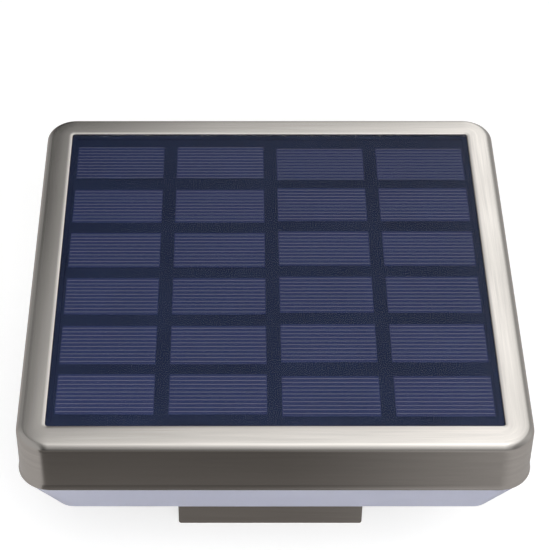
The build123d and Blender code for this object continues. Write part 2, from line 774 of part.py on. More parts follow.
with BuildPart() as switch_body:
    with BuildSketch(Plane.XY.offset(z_bezel)):
        with Locations((0, switch_y)):
            Circle(bezel_radius)
    extrude(amount=bezel_thickness)
    chamfer(switch_body.edges().sort_by(Axis.Z)[0], bezel_thickness / 4)
    with BuildSketch(Plane.XY.offset(z_washer)):
        with Locations((0, switch_y)):
            Circle(barrel_radius)
    extrude(amount=barrel_height)
    with BuildSketch(Plane.XY.offset(z_bezel)):
        with Locations((0, switch_y)):
            Circle(button_radius + running)
    extrude(amount=mouth_depth, mode=Mode.SUBTRACT)
    with BuildSketch(Plane.XY.offset(z_mouth)):
        with Locations((0, switch_y)):
            Circle(button_radius + collar_width + slip)
    extrude(amount=z_spring_seat - z_mouth, mode=Mode.SUBTRACT)
save(switch_body.part, "switch_body")

with BuildPart() as switch_washer:
    with BuildSketch(Plane.XY.offset(z_washer)):
        with Locations((0, switch_y)):
            Circle(bezel_radius - fit)
            Circle(barrel_radius + slip, mode=Mode.SUBTRACT)
    extrude(amount=washer_thickness)
save(switch_washer.part, "switch_washer")

with BuildPart() as switch_nut:
    with BuildSketch(Plane.XY.offset(z_floor)):
        with Locations((0, switch_y)):
            RegularPolygon(nut_flats / 2, 6, major_radius=False)
            Circle(barrel_radius + running, mode=Mode.SUBTRACT)
    extrude(amount=nut_thickness)
save(switch_nut.part, "switch_nut")

with BuildPart() as switch_lugs:
    with BuildSketch(Plane.XY.offset(z_barrel)):
        with Locations((-lug_spacing / 2, switch_y), (lug_spacing / 2, switch_y)):
            Rectangle(lug_width, lug_thickness)
    extrude(amount=lug_height)
save(switch_lugs.part, "switch_lugs")

with BuildPart() as power_button:
    with BuildSketch(Plane.XY.offset(z_button)):
        with Locations((0, switch_y)):
            Circle(button_radius)
    extrude(amount=z_mouth - z_button)
    fillet(power_button.edges().sort_by(Axis.Z)[0], button_edge)
    with BuildSketch(Plane.XY.offset(z_mouth)):
        with Locations((0, switch_y)):
            Circle(button_radius + collar_width)
    extrude(amount=collar_height)
save(power_button.part, "power_button")

# Return spring: a helix of round wire with both ends cut flat.
spring_radius = button_radius - spring_wire / 2
spring_pitch = (spring_room - spring_wire) / spring_turns
with BuildPart() as button_spring:
    with BuildLine(Plane((0, switch_y, z_collar + spring_wire / 4))) as spring_line:
        Helix(pitch=spring_pitch, height=spring_room - spring_wire / 2, radius=spring_radius)
    with BuildSketch(Plane(spring_line.line @ 0, z_dir=spring_line.line % 0)):
        Circle(spring_wire / 2)
    sweep(is_frenet=True)
    with BuildSketch(Plane.XY.offset(z_collar)):
        with Locations((0, switch_y)):
            Circle(button_radius + spring_wire)
    extrude(amount=spring_room, mode=Mode.INTERSECT)
save(button_spring.part, "button_spring")

# ---------------------------------------------------------------- inner leads
# Every lead is a round tube along straight runs joined by arcs, from one joint to the next.
led_lead_x = led_inner_half + lead_spacing
led_lead_top = z_lead + lead_rise
battery_lead_x = outer_face + lead_end
battery_lead_z = z_battery - bump_flat
switch_lead_y = board_back - board_depth


def lead(points, bend):
    """A round lead along the points, with arcs of one radius."""
    with BuildPart() as tube:
        with BuildLine() as route:
            FilletPolyline(*points, radius=bend)
        with BuildSketch(Plane(route.line @ 0, z_dir=route.line % 0)):
            Circle(lead_radius)
        sweep()
    return tube.part


half_spacing = lead_spacing / 2
panel_routes = [[(panel_lead_x + dx, panel_lead_y, z_backing), (panel_lead_x + dx, panel_lead_y, z_lead),
                 (panel_lead_x + dx, board_back, z_lead)] for dx in (-half_spacing, half_spacing)]
battery_routes = [[(side * outer_face, battery_y, battery_lead_z),
                   (side * battery_lead_x, battery_y, battery_lead_z),
                   (side * battery_lead_x, plus_terminal[1], z_lead),
                   (side * board_half, plus_terminal[1], z_lead)] for side in (-1, 1)]
led_routes = [[(led_lead_x, led_terminal[1] + dy, z_led_board + led_board_thickness),
               (led_lead_x, led_terminal[1] + dy, led_lead_top),
               (led_lead_x - 1.5 * lead_end, led_terminal[1] + dy, led_lead_top),
               (board_half + lead_end, led_terminal[1] + dy, z_lead),
               (board_half, led_terminal[1] + dy, z_lead)] for dy in (-half_spacing, half_spacing)]
switch_routes = [[(x, switch_y, z_barrel + lug_height), (x, switch_y, z_lead), (x, switch_lead_y, z_lead)]
                 for x in (-lug_spacing / 2, lug_spacing / 2)]

with BuildPart() as panel_leads:
    add([lead(route, lead_bend) for route in panel_routes])
save(panel_leads.part, "panel_leads")

with BuildPart() as battery_leads:
    add([lead(route, lead_bend) for route in battery_routes])
save(battery_leads.part, "battery_leads")

with BuildPart() as led_leads:
    add([lead(route, lead_bend) for route in led_routes])
save(led_leads.part, "led_leads")

with BuildPart() as switch_leads:
    add([lead(route, lead_bend) for route in switch_routes])
save(switch_leads.part, "switch_leads")
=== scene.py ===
# %% [markdown]
# # A solar light for a fence post
# The light is a square head of brushed stainless steel with a solar panel in its top, a frosted
# tapered lamp below and a square steel sleeve that drops over the post. The solid model of every
# part comes ready made and stays where it is. This lesson gives each part its real surface.
# The pieces that show most are new surfaces worked out with numpy, and the rest keep their
# solid shape and get a finish of their own.

import json
from math import asin, cos, degrees, pi, radians, sin

import bmesh
import bpy
import numpy as np
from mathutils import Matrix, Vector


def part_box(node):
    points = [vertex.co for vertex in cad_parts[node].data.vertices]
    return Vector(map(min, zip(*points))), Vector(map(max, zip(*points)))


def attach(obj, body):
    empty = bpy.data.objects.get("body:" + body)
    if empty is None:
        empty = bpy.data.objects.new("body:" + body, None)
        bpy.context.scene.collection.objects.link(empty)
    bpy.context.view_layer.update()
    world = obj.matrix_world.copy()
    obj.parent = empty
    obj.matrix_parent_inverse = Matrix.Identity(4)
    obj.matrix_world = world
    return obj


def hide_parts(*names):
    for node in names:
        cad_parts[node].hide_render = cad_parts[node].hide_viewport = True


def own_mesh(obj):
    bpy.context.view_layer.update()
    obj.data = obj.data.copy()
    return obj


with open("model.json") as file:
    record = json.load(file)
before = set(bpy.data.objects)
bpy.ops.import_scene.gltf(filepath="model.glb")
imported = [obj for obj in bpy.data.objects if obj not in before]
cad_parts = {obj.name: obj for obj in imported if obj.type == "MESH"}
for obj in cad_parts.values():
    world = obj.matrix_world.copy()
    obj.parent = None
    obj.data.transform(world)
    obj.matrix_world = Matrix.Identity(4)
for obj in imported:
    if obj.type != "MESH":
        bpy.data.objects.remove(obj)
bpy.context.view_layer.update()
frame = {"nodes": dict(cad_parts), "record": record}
nodes = frame["nodes"]
mm = 0.001


# %% [markdown]
# The camera comes first, because every later choice is seen through it. It could be placed by
# eye, but the picture gives it exactly: the panel is a square, so its four corners fix the
# distance, the tilt of 43 degrees and the focal length. The view axis passes a little left of the
# middle of the picture, and that is what the small sideways shift is for.

# %% camera
camera_data = bpy.data.cameras.new("camera")
camera_data.sensor_fit = "HORIZONTAL"
camera_data.sensor_width = 36.0
camera_data.lens = 128.25
camera_data.shift_x = 0.068
camera_data.clip_start = 0.01
camera = bpy.data.objects.new("camera", camera_data)
camera.location = (-0.01155, -0.47126, 0.53215)
camera.rotation_euler = (radians(46.77), 0, 0)
bpy.context.scene.collection.objects.link(camera)
bpy.context.scene.camera = camera
bpy.context.scene.view_settings.view_transform = "Standard"
print("camera at", tuple(camera.location))

# %% [markdown]
# Nearly every part of this light is a square ring with round corners: the steel cover, the
# frosted lamp, the gaskets. Such a ring could be drawn as a flat shape and extruded, but the
# cover has a dipped inner edge, a round shoulder and a bead, so it is better to think of it as
# one section that is carried round a path. The path is worked out once for a square of unit size.
# A point on it needs two things: which corner it belongs to, and which way is outwards there.

# %% path round a square with round corners
def square_path(corner_steps=16, side_at=(0.004, 0.02, 0.1, 0.25, 0.5, 0.75, 0.9, 0.98, 0.996)):
    """Path round a square, counter-clockwise from the right end of the front side.

    Returns core and outward, each an array of (x, y). A ring of half-width h and corner
    radius r has the points core * (h - r) + outward * r. At a corner the core stands still at
    (+-1, +-1) while outward turns a quarter; along a side outward stands still while the core
    moves in a straight line to the next corner."""
    quarter = np.linspace(0, pi / 2, corner_steps + 1)
    side = np.array(side_at)
    turn = np.concatenate([quarter, np.full(side.size, pi / 2)])
    along = np.concatenate([np.zeros(quarter.size), side])
    turns = turn[None, :] + np.arange(4)[:, None] * pi / 2 - pi / 2
    outward = np.stack([np.cos(turns), np.sin(turns)], axis=-1)
    marks = np.array([(1, -1), (1, 1), (-1, 1), (-1, -1)], float)
    following = np.roll(marks, -1, axis=0)
    core = marks[:, None, :] + (following - marks)[:, None, :] * along[None, :, None]
    return core.reshape(-1, 2), outward.reshape(-1, 2)


core, outward = square_path()
print("points round the path:", len(core))

# %% [markdown]
# A section is a list of points with three numbers each: half-width, corner radius and height.
# Straight runs and arcs are enough for sheet metal and mouldings. Close to the ends of each
# straight run an extra point is added, so that the smooth shading of an arc doesn't leak
# into the flat beside it.

# %% runs and arcs of a section
def run(start, end, guard=0.15):
    """Straight run of a section, in millimetres, with a guard point near each end.

    Points are start + (end - start) * t for t = 0, g, 1 - g, with g = guard / length."""
    start, end = np.array(start, float), np.array(end, float)
    length = np.linalg.norm(end - start)
    g = min(guard / length, 0.3)
    t = np.array([0, g, 1 - g])
    return start + (end - start) * t[:, None]


def arc(centre, radius, first, last, steps):
    """Arc of a section about (half-width, height), angles in degrees from straight outwards.

    Half-width = c + r cos(a) and height = z + r sin(a). The last point is left to what follows."""
    a = np.radians(np.linspace(first, last, steps + 1)[:-1])
    return np.stack([centre[0] + radius * np.cos(a), centre[1] + radius * np.sin(a)], axis=-1)


def about(section, corner_centre):
    """Adds the corner radius to (half-width, height) points whose corners share one centre."""
    return np.stack([section[:, 0], section[:, 0] - corner_centre, section[:, 1]], axis=-1)


print("a run:", run((0, 0), (10, 0)).tolist())

# %% [markdown]
# The mesh of a ring is a grid: one direction goes round the path and the other round the
# section, and both close on themselves. Filling it face by face would be slow, so the corner
# numbers of all the faces are worked out as one array. The grid also carries a map in
# metres, length round the ring and length round the section, and the brushing of the steel
# follows that map round the corners.

# %% from a section to a closed ring
def grid_mesh(name, points, lengths, closed):
    """Mesh from a grid of points (n, m, 3): quads between neighbours, closed where asked.

    lengths holds the two map coordinates of the grid lines, in metres, with one value more
    than the grid where that direction closes. Returns the mesh."""
    n, m = points.shape[:2]
    rows, columns = n - (not closed[0]), m - (not closed[1])
    i, j = np.meshgrid(np.arange(rows), np.arange(columns), indexing="ij")
    i, j = i.ravel(), j.ravel()
    corner_i = np.stack([i, i, i + 1, i + 1], axis=-1)
    corner_j = np.stack([j, j + 1, j + 1, j], axis=-1)
    faces = (corner_i % n) * m + corner_j % m
    mesh = bpy.data.meshes.new(name)
    mesh.vertices.add(n * m)
    mesh.vertices.foreach_set("co", (points * mm).ravel())
    mesh.loops.add(faces.size)
    mesh.loops.foreach_set("vertex_index", faces.ravel())
    mesh.polygons.add(len(faces))
    mesh.polygons.foreach_set("loop_start", np.arange(len(faces)) * 4)
    mesh.update(calc_edges=True)
    chart = mesh.uv_layers.new(name="surface")
    place = np.stack([lengths[0][corner_i], lengths[1][corner_j]], axis=-1)
    chart.data.foreach_set("uv", place.ravel())
    mesh.validate()
    return mesh


def put(mesh, body, angle=40):
    """An object for the mesh, shaded smooth up to the angle, that rides on a body."""
    mesh.shade_smooth()
    mesh.set_sharp_from_angle(angle=radians(angle))
    piece = bpy.data.objects.new(mesh.name, mesh)
    bpy.context.scene.collection.objects.link(piece)
    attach(piece, body)
    return piece


def ring(name, section):
    """Closed ring: the section (half-width, corner radius, height) carried round the square path.

    Point (t, s) = core(t) * (half(s) - corner(s)) + outward(t) * corner(s), at height(s)."""
    half, corner, height = section.T
    flat = (core[:, None, :] * (half - corner)[None, :, None]
            + outward[:, None, :] * corner[None, :, None])
    level = np.broadcast_to(height[None, :, None], flat.shape[:2] + (1,))
    points = np.concatenate([flat, level], axis=-1)
    widest = points[:, np.argmax(half), :]
    strides = np.linalg.norm(np.roll(widest, -1, 0) - widest, axis=1)
    round_it = np.concatenate([[0], np.cumsum(strides)])
    step = np.roll(section, -1, 0) - section
    over_it = np.concatenate([[0], np.cumsum(np.hypot(step[:, 0], step[:, 2]))])
    mesh = grid_mesh(name, points, (round_it * mm, over_it * mm), (True, True))
    bm = bmesh.new()
    bm.from_mesh(mesh)
    volume = round(bm.calc_volume(signed=True) * 1e6, 2)
    print(name, "faces", len(mesh.polygons), "volume cm3", volume)
    bm.free()
    return put(mesh, "light")


# %% [markdown]
# The cover is one pressed sheet, 0.8 mm thick. Going round its section: the edge of the window is
# broken by a small round, then rises in a wide shallow curve to the rim, which is what draws the
# bright strip beside the panel. The rim is very slightly crowned, so that its shading changes
# across it, and rounds over into the side. The side leans out a little before it ends in a small
# bead. A bead alone would draw a hard bright line, and the picture shows only a soft one. The way
# back up is the inside of the same sheet. All corners share one centre, 69 mm from the middle,
# so the rim keeps its width round the corner.

# %% steel cover
top, sheet_under, lip_low = 92.2, 91.4, 90.6
window_half, lip_half, inner_skin, head_half, corner_centre = 70.0, 70.8, 78.2, 79.0, 69.0
inner_centre, inner_round = (76.7, 89.9), 1.5

slope_width, slope_dip, edge_round = 1.25, 0.10, 0.15
slope_radius = (slope_width ** 2 + slope_dip ** 2) / (2 * slope_dip)
slope_turn = asin((slope_width - edge_round) / (slope_radius - edge_round))
edge_height = top - slope_radius + (slope_radius - edge_round) * cos(slope_turn)
slope_end = 90 + degrees(slope_turn)

crown_start, crown_tilt, shoulder = 71.75, 3.8, 2.3
crown_end = head_half - shoulder * (1 - sin(radians(crown_tilt)))
crown_radius = (crown_end - crown_start) / sin(radians(crown_tilt))
shoulder_height = top - crown_radius + (crown_radius - shoulder) * cos(radians(crown_tilt))

bead_middle, bead_size, flare_tilt = (78.8, 73.4), 0.6, 25
bead_top = (bead_middle[0] + bead_size * cos(radians(flare_tilt)),
            bead_middle[1] + bead_size * sin(radians(flare_tilt)))
flare_radius = (bead_top[0] - head_half) / (1 - cos(radians(flare_tilt)))
flare_height = bead_top[1] + flare_radius * sin(radians(flare_tilt))

cover_section = np.concatenate([
    run((window_half, lip_low), (window_half, edge_height)),
    arc((window_half + edge_round, edge_height), edge_round, 180, slope_end, 5),
    arc((window_half + slope_width, top - slope_radius), slope_radius, slope_end, 90, 8),
    run((window_half + slope_width, top), (crown_start, top)),
    arc((crown_start, top - crown_radius), crown_radius, 90, 90 - crown_tilt, 8),
    arc((head_half - shoulder, shoulder_height), shoulder, 90 - crown_tilt, 0, 14),
    run((head_half, shoulder_height), (head_half, flare_height)),
    arc((head_half + flare_radius, flare_height), flare_radius, 180, 180 + flare_tilt, 8),
    arc(bead_middle, bead_size, flare_tilt, -180, 16),
    run((inner_skin, bead_middle[1]), (inner_skin, inner_centre[1])),
    arc(inner_centre, inner_round, 0, 90, 8),
    run((inner_centre[0], sheet_under), (lip_half, sheet_under)),
    run((lip_half, sheet_under), (lip_half, lip_low)),
    run((lip_half, lip_low), (window_half, lip_low)),
])
steel_cover = ring("steel_cover", about(cover_section, corner_centre))
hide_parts("top_cover")

# %% [markdown]
# The lamp is a tapered tub of frosted plastic. Its corners don't share one centre, because it was
# drawn with slightly rounder corners at the top than at the bottom, so here each point of the
# section has a corner radius of its own. The bottom edge is softened by 0.7 mm, as
# a moulded part needs.

# %% frosted lamp
mouth = (78.35, 8.0, 72.6)
foot_half, foot_corner, foot_height, soft = 69.6, 6.6, 53.7, 0.7
lean = np.arctan2(mouth[0] - foot_half, mouth[2] - foot_height)
heel = (foot_half - soft * np.tan((pi / 2 - lean) / 2), foot_height + soft)
heel_arc = arc(heel, soft, -np.degrees(lean), -90, 8)
heel_corner = np.full(len(heel_arc), foot_corner)
heel_arc = np.stack([heel_arc[:, 0], heel_corner, heel_arc[:, 1]], axis=-1)
rest_of_section = [
    (heel[0], foot_corner, foot_height),          # under the floor, from the heel
    (49.73, 6.3, foot_height), (49.73, 6.3, 55.7),  # edge of the opening in the floor
    (68.33, 6.6, 55.7), (75.2, 8.0, 72.6),        # inside of the wall
    (75.2, 8.0, 74.2), (77.4, 8.4, 74.2),         # top of the rim that sits in the seal
    (77.4, 8.4, 72.6), mouth,
]
diffuser_section = np.concatenate(
    [run(mouth, tuple(heel_arc[0])), heel_arc]
    + [run(start, end) for start, end in zip(rest_of_section, rest_of_section[1:])])
frosted_lamp = ring("frosted_lamp", diffuser_section)
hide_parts("diffuser")

# %% [markdown]
# Each solar cell is a dark plate with thin silver lines printed on it, which collect the current.
# The lines could be painted by the material, but real ones stand a few hundredths of a
# millimetre proud and catch the light, so they are made as low ribbons. One ribbon is a small
# arch, and all of them are copies of it moved to their places in one array.

# %% silver lines on the cells
cell_low, cell_high = (np.array(corner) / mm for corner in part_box("solar_cells"))
cell_size, scatter = np.array([30.3, 16.75]), 0.4
columns, rows = 4, 6
half_cell = cell_size / 2
column_at = np.linspace(cell_low[0] + half_cell[0], cell_high[0] - half_cell[0], columns)
row_edge = half_cell[1] + scatter
row_at = np.linspace(cell_low[1] + row_edge, cell_high[1] - row_edge, rows)
end_row = np.arange(rows) % (rows - 1) == 0
shift = np.where(column_at > 0, scatter, -scatter)[:, None] * np.where(end_row, -1, 1)[None, :]
cell_x = np.repeat(column_at[:, None], rows, axis=1)
cell_y = row_at[None, :] + shift
print("columns at", column_at.round(2), "rows at", row_at.round(2))


def silver_lines(width=0.24, height=0.05, inset=0.2, pitch=1.64, back_pitch=1.62):
    """Ribbons along X on every cell: an arch height(v) = h (1 - v^2) across, v from -1 to 1.

    A cell has ten lines, and eleven, slightly closer, in the back row."""
    across = np.array([-1.0, -0.6, 0.0, 0.6, 1.0])
    m = across.size
    reach = half_cell[0] - inset
    ends = np.array([-reach, reach])
    one = np.stack([
        np.broadcast_to(ends[:, None], (2, m)),
        np.broadcast_to(across[None, :] * width / 2, (2, m)),
        np.broadcast_to(height * (1 - across[None, :] ** 2), (2, m)),
    ], axis=-1).reshape(-1, 3)
    ten, eleven = (np.arange(10) - 4.5) * pitch, (np.arange(11) - 5) * back_pitch
    line_x = np.concatenate([np.repeat(cell_x[:, :-1].ravel(), 10), np.repeat(cell_x[:, -1], 11)])
    line_y = np.concatenate([(cell_y[:, :-1].ravel()[:, None] + ten).ravel(),
                             (cell_y[:, -1][:, None] + eleven).ravel()])
    places = np.stack([line_x, line_y, np.full(line_x.size, cell_high[2])], axis=-1)
    points = (places[:, None, :] + one[None, :, :]).reshape(-1, 3) * mm
    tops = np.array([[j, j + m, j + m + 1, j + 1] for j in range(m - 1)])
    under = np.array([[0, m - 1, 2 * m - 1, m]])
    first = np.arange(len(places))[:, None, None] * 2 * m
    faces = (np.concatenate([tops, under])[None, :, :] + first).reshape(-1, 4)
    ends_of = np.array([[0, 1, 2, 3, 4], [9, 8, 7, 6, 5]])
    caps = (ends_of[None, :, :] + first).reshape(-1, 5)
    mesh = bpy.data.meshes.new("cell_fingers")
    mesh.from_pydata(points.tolist(), [], faces.tolist() + caps.tolist())
    mesh.validate()
    return mesh


fingers = silver_lines()
cell_fingers = put(fingers, "light", 80)
print("silver lines:", len(fingers.polygons), "faces")

# %% [markdown]
# The sleeve, the plate under the lamp, the switch and the screws already have the right shape in
# the solid model, but their meshes are loose triangles, which shade like cut stone. They can't be
# changed in place, so a copy of each has its points joined, its round faces smoothed and its
# flats kept flat by weighting the shading with the size of each face.

# %% smooth copies of the turned and moulded parts
def smooth_copy(node, name, body="light", angle=30):
    """Copy of a solid piece with joined points, smooth up to the angle, weighted by face size."""
    mesh = nodes[node].data.copy()
    mesh.name = name
    bm = bmesh.new()
    bm.from_mesh(mesh)
    bmesh.ops.remove_doubles(bm, verts=bm.verts, dist=2e-6)
    bm.to_mesh(mesh)
    bm.free()
    piece = put(mesh, body, angle)
    even = piece.modifiers.new("even shading", "WEIGHTED_NORMAL")
    even.keep_sharp = True
    even.weight = 100
    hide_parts(node)
    return piece


copies = {
    "sleeve_shell": ("post_sleeve", "light", "stainless"),
    "base_moulding": ("base_plate", "light", "dark_moulding"),
    "base_fixings": ("base_screws", "light", "screw_steel"),
    "sleeve_fixings": ("sleeve_screws", "light", "screw_steel"),
    "switch_housing": ("switch_body", "light", "black_plastic"),
    "switch_seal": ("switch_washer", "light", "seal_rubber"),
    "base_seal": ("base_gasket", "light", "seal_rubber"),
    "sleeve_cushion": ("sleeve_pad", "light", "seal_rubber"),
    "clear_face": ("panel_cover", "light", "clear_sheet"),
    "push_button": ("power_button", "button", "button_plastic"),
    "return_spring": ("button_spring", "light", "spring_steel"),
}
smooth = {}
for name, (node, body, slot_name) in copies.items():
    smooth[name] = smooth_copy(node, name, body)

# The sheet rests on the rim of its backing. Two faces in exactly the same place would render
# black where they touch, so the underside of the sheet is lifted a little.
sheet_lift, underside = 0.03 * mm, 0.1 * mm
sheet = smooth["clear_face"].data
corners = np.empty(len(sheet.vertices) * 3)
sheet.vertices.foreach_get("co", corners)
heights = corners.reshape(-1, 3)[:, 2]
heights[heights < heights.min() + underside] += sheet_lift
sheet.vertices.foreach_set("co", corners)
sheet.update()
print("smooth copies:", ", ".join(sorted(smooth)))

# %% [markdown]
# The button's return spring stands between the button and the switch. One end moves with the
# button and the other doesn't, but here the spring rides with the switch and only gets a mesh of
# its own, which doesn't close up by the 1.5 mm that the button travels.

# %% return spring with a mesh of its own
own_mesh(smooth["return_spring"])

# %% [markdown]
# Now the finishes. A finish is a few shader nodes, and writing each link out by hand hides the
# idea, so short helpers add a node, set its inputs and join it. Patterns that several
# finishes share are node groups, built once.

# %% helpers for shader nodes
def feed(tree, socket, value):
    """Joins the socket to another one, or sets it to a number, a colour or a vector."""
    if isinstance(value, bpy.types.NodeSocket):
        tree.links.new(value, socket)
    elif isinstance(value, tuple) and socket.type == "RGBA" and len(value) == 3:
        socket.default_value = (*value, 1.0)
    else:
        socket.default_value = value


def add_node(tree, kind, **inputs):
    """A node of the kind, with the inputs named here set or joined."""
    node = tree.nodes.new(kind)
    for key, value in inputs.items():
        feed(tree, node.inputs[key.replace("_", " ")], value)
    return node


def math(tree, operation, first, second=0.5, clamp=False):
    """Result of a math node on two values or sockets."""
    node = tree.nodes.new("ShaderNodeMath")
    node.operation = operation
    node.use_clamp = clamp
    feed(tree, node.inputs[0], first)
    feed(tree, node.inputs[1], second)
    return node.outputs[0]


def remap(tree, value, low, high, to_low, to_high, smoothly=False):
    """Value from the range low to high spread over to_low to to_high, clamped."""
    node = add_node(tree, "ShaderNodeMapRange", Value=value, From_Min=low, From_Max=high,
                    To_Min=to_low, To_Max=to_high)
    node.interpolation_type = "SMOOTHSTEP" if smoothly else "LINEAR"
    return node.outputs["Result"]


def set_rough(tree, shader, value, low, high):
    """Roughness from low to high as the value goes from 0 to 1."""
    tree.links.new(remap(tree, value, 0.0, 1.0, low, high), shader.inputs["Roughness"])


def tint(tree, factor, first, second):
    """Colour between two colours by a factor."""
    node = tree.nodes.new("ShaderNodeMix")
    node.data_type = "RGBA"
    for place, value in zip((0, 6, 7), (factor, first, second)):
        feed(tree, node.inputs[place], value)
    return node.outputs[2]


def new_group(name, takes, gives):
    """A shader node group with named inputs and outputs, and its input and output nodes."""
    group = bpy.data.node_groups.new(name, "ShaderNodeTree")
    for label, kind, start in takes:
        socket = group.interface.new_socket(name=label, in_out="INPUT", socket_type=kind)
        if start is not None:
            socket.default_value = start
    for label, kind in gives:
        group.interface.new_socket(name=label, in_out="OUTPUT", socket_type=kind)
    return group, group.nodes.new("NodeGroupInput"), group.nodes.new("NodeGroupOutput")


def place_group(tree, group, **inputs):
    """The group placed in a material, with its inputs set or joined."""
    node = tree.nodes.new("ShaderNodeGroup")
    node.node_tree = group
    for key, value in inputs.items():
        feed(tree, node.inputs[key.replace("_", " ")], value)
    return node


print("helpers ready")

# %% [markdown]
# Three patterns are shared. Brushing is noise drawn out into long thin lines. Grain is the fine
# spark-eroded texture of a mould. Handling is the large, faint cloudiness that
# fingers and weather leave on any surface. Each gives plain values from 0 to 1.

# %% shared patterns
brushing, into, out = new_group(
    "brushing",
    [("Place", "NodeSocketVector", None), ("Line Length", "NodeSocketFloat", 0.03),
     ("Line Width", "NodeSocketFloat", 0.0003)],
    [("Lines", "NodeSocketFloat"), ("Bands", "NodeSocketFloat")])
parts = add_node(brushing, "ShaderNodeSeparateXYZ", Vector=into.outputs["Place"])
long_way = math(brushing, "DIVIDE", parts.outputs["X"], into.outputs["Line Length"])
short_way = math(brushing, "DIVIDE", parts.outputs["Y"], into.outputs["Line Width"])
fine_place = add_node(brushing, "ShaderNodeCombineXYZ", X=long_way, Y=short_way)
fine = add_node(brushing, "ShaderNodeTexNoise", Vector=fine_place.outputs[0],
                Scale=1.0, Detail=3.0)
wide_place = add_node(brushing, "ShaderNodeVectorMath", Vector=fine_place.outputs[0])
wide_place.operation = "MULTIPLY"
wide_place.inputs[1].default_value = (0.7, 0.16, 1.0)
wide = add_node(brushing, "ShaderNodeTexNoise", Vector=wide_place.outputs[0],
                Scale=1.0, Detail=2.0)
brushing.links.new(remap(brushing, fine.outputs["Fac"], 0.3, 0.7, 0.0, 1.0), out.inputs["Lines"])
brushing.links.new(remap(brushing, wide.outputs["Fac"], 0.3, 0.7, 0.0, 1.0), out.inputs["Bands"])

grain, into, out = new_group(
    "moulded grain",
    [("Place", "NodeSocketVector", None), ("Grain Size", "NodeSocketFloat", 0.0003)],
    [("Grain", "NodeSocketFloat")])
grain_scale = math(grain, "DIVIDE", 1.0, into.outputs["Grain Size"])
pits = add_node(grain, "ShaderNodeTexNoise", Vector=into.outputs["Place"],
                Scale=grain_scale, Detail=2.0)
grain.links.new(remap(grain, pits.outputs["Fac"], 0.25, 0.75, 0.0, 1.0), out.inputs["Grain"])

handling, into, out = new_group(
    "handling",
    [("Place", "NodeSocketVector", None), ("Patch Size", "NodeSocketFloat", 0.03)],
    [("Cloud", "NodeSocketFloat")])
cloud_scale = math(handling, "DIVIDE", 1.0, into.outputs["Patch Size"])
cloud = add_node(handling, "ShaderNodeTexNoise", Vector=into.outputs["Place"],
                 Scale=cloud_scale, Detail=4.0)
handling.links.new(remap(handling, cloud.outputs["Fac"], 0.3, 0.7, 0.0, 1.0), out.inputs["Cloud"])
print("patterns:", [g.name for g in bpy.data.node_groups])

# %% [markdown]
# Brushed stainless steel is a metal whose roughness and height change in long thin lines. On the
# cover the lines run round the ring, as the picture shows them beside each edge of the panel, so
# they read the map. The sleeve was brushed along the sheet before it was folded,
# level round the post, so its lines read the height.

# %% brushed stainless steel
def new_material(name):
    """A material with its tree, its Principled BSDF and the place on the object."""
    material = bpy.data.materials.new(name)
    material.use_nodes = True
    tree = material.node_tree
    shader = tree.nodes["Principled BSDF"]
    coordinates = tree.nodes.new("ShaderNodeTexCoord")
    return material, tree, shader, coordinates


def brushed_steel(name, colour, place_from, line_length, line_width=0.0003, rough=(0.15, 0.21),
                  depth=0.000004, tangent=None):
    """Metal with lines along the first coordinate of its place: roughness, tint and height."""
    material, tree, shader, coordinates = new_material(name)
    lines = place_group(tree, brushing, Place=place_from(tree, coordinates),
                        Line_Length=line_length, Line_Width=line_width)
    touch = place_group(tree, handling, Place=coordinates.outputs["Object"], Patch_Size=0.035)
    mixed = math(tree, "ADD", math(tree, "MULTIPLY", lines.outputs["Lines"], 0.45),
                 math(tree, "MULTIPLY", lines.outputs["Bands"], 0.55))
    shade = tint(tree, mixed, tuple(c * 0.93 for c in colour),
                 tuple(min(c * 1.06, 1.0) for c in colour))
    shade = tint(tree, math(tree, "MULTIPLY", touch.outputs["Cloud"], 0.06), shade,
                 tuple(c * 0.8 for c in colour))
    tree.links.new(shade, shader.inputs["Base Color"])
    roughness = math(tree, "ADD", remap(tree, mixed, 0.0, 1.0, rough[1], rough[0]),
                     math(tree, "MULTIPLY", touch.outputs["Cloud"], 0.03))
    tree.links.new(roughness, shader.inputs["Roughness"])
    shader.inputs["Metallic"].default_value = 1.0
    if tangent:
        lie = tree.nodes.new("ShaderNodeTangent")
        lie.direction_type = "UV_MAP"
        lie.uv_map = tangent
        tree.links.new(lie.outputs["Tangent"], shader.inputs["Tangent"])
        shader.inputs["Anisotropic"].default_value = 0.4
        shader.inputs["Anisotropic Rotation"].default_value = 0.25
    bump = add_node(tree, "ShaderNodeBump", Height=mixed, Strength=0.25, Distance=depth)
    tree.links.new(bump.outputs["Normal"], shader.inputs["Normal"])
    return material


def along_ring(tree, coordinates):
    """The map of a ring: round it, then over its section."""
    return coordinates.outputs["UV"]


def level_lines(tree, coordinates):
    """Level lines round the sleeve: x + y along them, height across them."""
    parts = add_node(tree, "ShaderNodeSeparateXYZ", Vector=coordinates.outputs["Object"])
    round_it = math(tree, "ADD", parts.outputs["X"], parts.outputs["Y"])
    return add_node(tree, "ShaderNodeCombineXYZ", X=round_it, Y=parts.outputs["Z"]).outputs[0]


steel_colour = (0.80, 0.77, 0.735)
cover_steel = brushed_steel("brushed steel cover", steel_colour, along_ring, 0.022,
                            tangent="surface")
sleeve_steel = brushed_steel("brushed steel sleeve", steel_colour, level_lines, 0.030)
print("steel:", cover_steel.name, "and", sleeve_steel.name)

# %% [markdown]
# Plastics, rubber and board all follow one recipe: a colour that clouds slightly, a fine grain in
# the height, and a roughness that follows both. Only the numbers differ, so one function makes
# them all and each finish below states its own.

